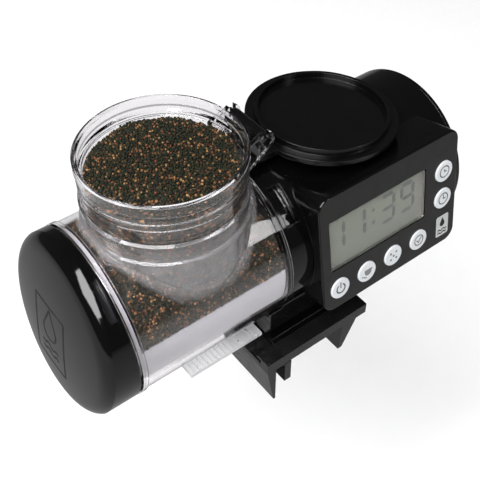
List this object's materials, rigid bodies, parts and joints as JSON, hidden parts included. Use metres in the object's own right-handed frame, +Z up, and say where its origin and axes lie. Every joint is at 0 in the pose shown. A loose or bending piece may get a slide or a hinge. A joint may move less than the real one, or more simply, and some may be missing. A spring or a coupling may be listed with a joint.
{
  "type": "automatic fish feeder",
  "caption": "Rim-mounted fish feeder: clear food drum and hopper with hinged lid, dosing rotor and slide, and a black drive housing with timer panel on a clamp bracket.",
  "frame": {"origin": "underside of the bracket plate, midway between the left leg and the clamp jaw, where the tank rim bears", "axes": "+X along the drum from the end cap to the battery cover, -Y out of the timer panel, +Z up"},
  "size_m": [0.1634, 0.0725, 0.1133],
  "materials": {
    "clear_plastic": "polished clear",
    "window_clear": "polished clear",
    "frosted_plastic": "frosted",
    "insert_grey": "satin",
    "gloss_black": "polished",
    "satin_black": "satin",
    "panel_charcoal": "fine matt texture",
    "button_grey": "satin",
    "gear_white": "satin",
    "seal_rubber": "matt",
    "lcd_green": "smooth",
    "board_green": "satin lacquer",
    "chip_black": "matt",
    "cell_wrap": "satin sleeve",
    "steel": "bright",
    "zinc": "zinc plated",
    "nickel": "nickel plated",
    "brass": "bright"
  },
  "bodies": {
    "bracket": {"mounting_bracket": "satin_black"},
    "jaw": {"clamp_jaw": "satin_black"},
    "housing": {"main_housing": "gloss_black", "shaft_bush": "gear_white", "gear_axle": "steel", "gearbox_plate": "satin_black", "gearbox_screws": "steel", "gear_motor": "zinc", "battery_tray": "satin_black", "front_battery": "cell_wrap", "rear_battery": "cell_wrap", "contact_springs": "nickel", "panel_plate": "panel_charcoal", "lcd_window": "window_clear", "lcd_module": "lcd_green", "lcd_holder": "gear_white", "contact_strips": "seal_rubber", "circuit_board": "board_green", "board_parts": "chip_black", "button_switches": "chip_black", "board_screws": "steel"},
    "container": {"food_container": "clear_plastic", "chamber_insert": "insert_grey", "rotor_seal": "seal_rubber"},
    "cap": {"end_cap": "gloss_black", "cap_seal": "seal_rubber"},
    "lid": {"hopper_lid": "gloss_black"},
    "slide": {"dosing_slide": "frosted_plastic"},
    "rotor": {"dosing_rotor": "insert_grey", "drive_shaft": "gear_white", "output_gear": "gear_white"},
    "intermediate": {"intermediate_gear": "gear_white"},
    "pinion": {"motor_pinion": "brass", "motor_shaft": "steel"},
    "cover": {"battery_cover": "gloss_black", "bridge_contact": "nickel"},
    "power_key": {"power_button": "button_grey"},
    "feed_key": {"feed_button": "button_grey"},
    "portion_key": {"portion_button": "button_grey"},
    "set_key": {"set_button": "button_grey"},
    "hour_key": {"hour_button": "button_grey"},
    "minute_key": {"minute_button": "button_grey"}
  },
  "joints": [
    {"name": "housing_slide", "type": "slide", "parent": "bracket", "child": "housing", "axis": [1, 0, 0], "range_m": [-0.006, 0.014]},
    {"name": "jaw_slide", "type": "slide", "parent": "bracket", "child": "jaw", "axis": [1, 0, 0], "range_m": [-0.0035, 0.016]},
    {"name": "container_twist", "type": "hinge", "parent": "housing", "child": "container", "pos_m": [0.00785, 0.007, 0.0396], "axis": [1, 0, 0], "range_deg": [-36, 0]},
    {"name": "cap_twist", "type": "hinge", "parent": "container", "child": "cap", "pos_m": [-0.05515, 0.007, 0.0396], "axis": [1, 0, 0], "range_deg": [0, 36]},
    {"name": "lid_hinge", "type": "hinge", "parent": "container", "child": "lid", "pos_m": [0.01205, 0.007, 0.0861], "axis": [0, 1, 0], "range_deg": [-183, 0]},
    {"name": "slide_travel", "type": "slide", "parent": "container", "child": "slide", "axis": [1, 0, 0], "range_m": [-0.01, 0]},
    {"name": "rotor_spin", "type": "hinge", "parent": "housing", "child": "rotor", "pos_m": [0.01485, 0.007, 0.0396], "axis": [1, 0, 0], "continuous": true},
    {"name": "intermediate_spin", "type": "hinge", "parent": "housing", "child": "intermediate", "pos_m": [0.02285, 0.01166, 0.02221], "axis": [1, 0, 0], "continuous": true},
    {"name": "pinion_spin", "type": "hinge", "parent": "housing", "child": "pinion", "pos_m": [0.02585, -0.00114, 0.01996], "axis": [1, 0, 0], "continuous": true},
    {"name": "cover_twist", "type": "hinge", "parent": "housing", "child": "cover", "pos_m": [0.08915, 0.007, 0.0396], "axis": [1, 0, 0], "range_deg": [0, 36]},
    {"name": "power_press", "type": "slide", "parent": "housing", "child": "power_key", "axis": [0, 0.9848, -0.1736], "range_m": [0, 0.0007], "stiffness_N_per_m": 300},
    {"name": "feed_press", "type": "slide", "parent": "housing", "child": "feed_key", "axis": [0, 0.9848, -0.1736], "range_m": [0, 0.0007], "stiffness_N_per_m": 300},
    {"name": "portion_press", "type": "slide", "parent": "housing", "child": "portion_key", "axis": [0, 0.9848, -0.1736], "range_m": [0, 0.0007], "stiffness_N_per_m": 300},
    {"name": "set_press", "type": "slide", "parent": "housing", "child": "set_key", "axis": [0, 0.9848, -0.1736], "range_m": [0, 0.0007], "stiffness_N_per_m": 300},
    {"name": "hour_press", "type": "slide", "parent": "housing", "child": "hour_key", "axis": [0, 0.9848, -0.1736], "range_m": [0, 0.0007], "stiffness_N_per_m": 300},
    {"name": "minute_press", "type": "slide", "parent": "housing", "child": "minute_key", "axis": [0, 0.9848, -0.1736], "range_m": [0, 0.0007], "stiffness_N_per_m": 300}
  ],
  "couplings": [
    {"joint": "intermediate_spin", "follows": "rotor_spin", "ratio": -4},
    {"joint": "pinion_spin", "follows": "rotor_spin", "ratio": 13.333}
  ]
}
